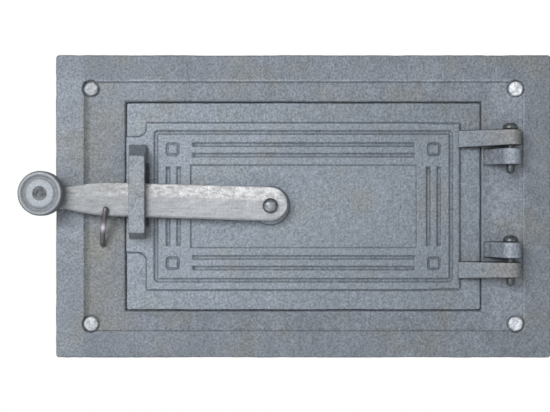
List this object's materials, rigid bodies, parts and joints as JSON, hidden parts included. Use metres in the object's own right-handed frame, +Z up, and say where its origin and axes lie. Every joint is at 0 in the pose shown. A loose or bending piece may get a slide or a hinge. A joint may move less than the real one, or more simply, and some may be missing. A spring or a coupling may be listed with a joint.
{
  "type": "ash pit door",
  "caption": "Cast-iron ash pit door: rectangular wall frame, inset ribbed leaf on pin hinges, and a pivoted drop lever with a round knob in a rod catch.",
  "frame": {"origin": "middle of the masonry opening, in the plane of the wall face that the flange rests on", "axes": "+X to the hinge side, +Y into the wall, +Z up"},
  "size_m": [0.2884, 0.0835, 0.166],
  "materials": {
    "frame_iron": "sand-cast grey iron, matt",
    "door_iron": "sand-cast grey iron, matt",
    "lever_steel": "bare rough steel",
    "knob_iron": "smooth grey iron",
    "knob_rivet_steel": "dull steel",
    "pivot_rivet_steel": "polished dome, dark rim",
    "pin_steel": "blued steel",
    "hook_steel": "brownish drawn rod",
    "corner_rivet_steel": "hammered bright steel",
    "anchor_steel": "mill-scaled flat steel"
  },
  "bodies": {
    "frame": {"frame_casting": "frame_iron", "upper_hinge_pin": "pin_steel", "lower_hinge_pin": "pin_steel", "catch_hook": "hook_steel", "anchor_rivets": "corner_rivet_steel", "anchor_upper_left": "anchor_steel", "anchor_upper_right": "anchor_steel", "anchor_lower_left": "anchor_steel", "anchor_lower_right": "anchor_steel"},
    "door": {"door_casting": "door_iron", "lever_pivot_rivet": "pivot_rivet_steel"},
    "latch": {"latch_lever": "lever_steel", "handle_knob": "knob_iron", "knob_rivet": "knob_rivet_steel"}
  },
  "joints": [
    {"name": "door_swing", "type": "hinge", "parent": "frame", "child": "door", "pos_m": [0.112, -0.012, 0], "axis": [0, 0, 1], "range_deg": [0, 170]},
    {"name": "latch_lift", "type": "hinge", "parent": "door", "child": "latch", "pos_m": [-0.0182, -0.012, 0.0004], "axis": [0, 1, 0], "range_deg": [0, 8]}
  ]
}
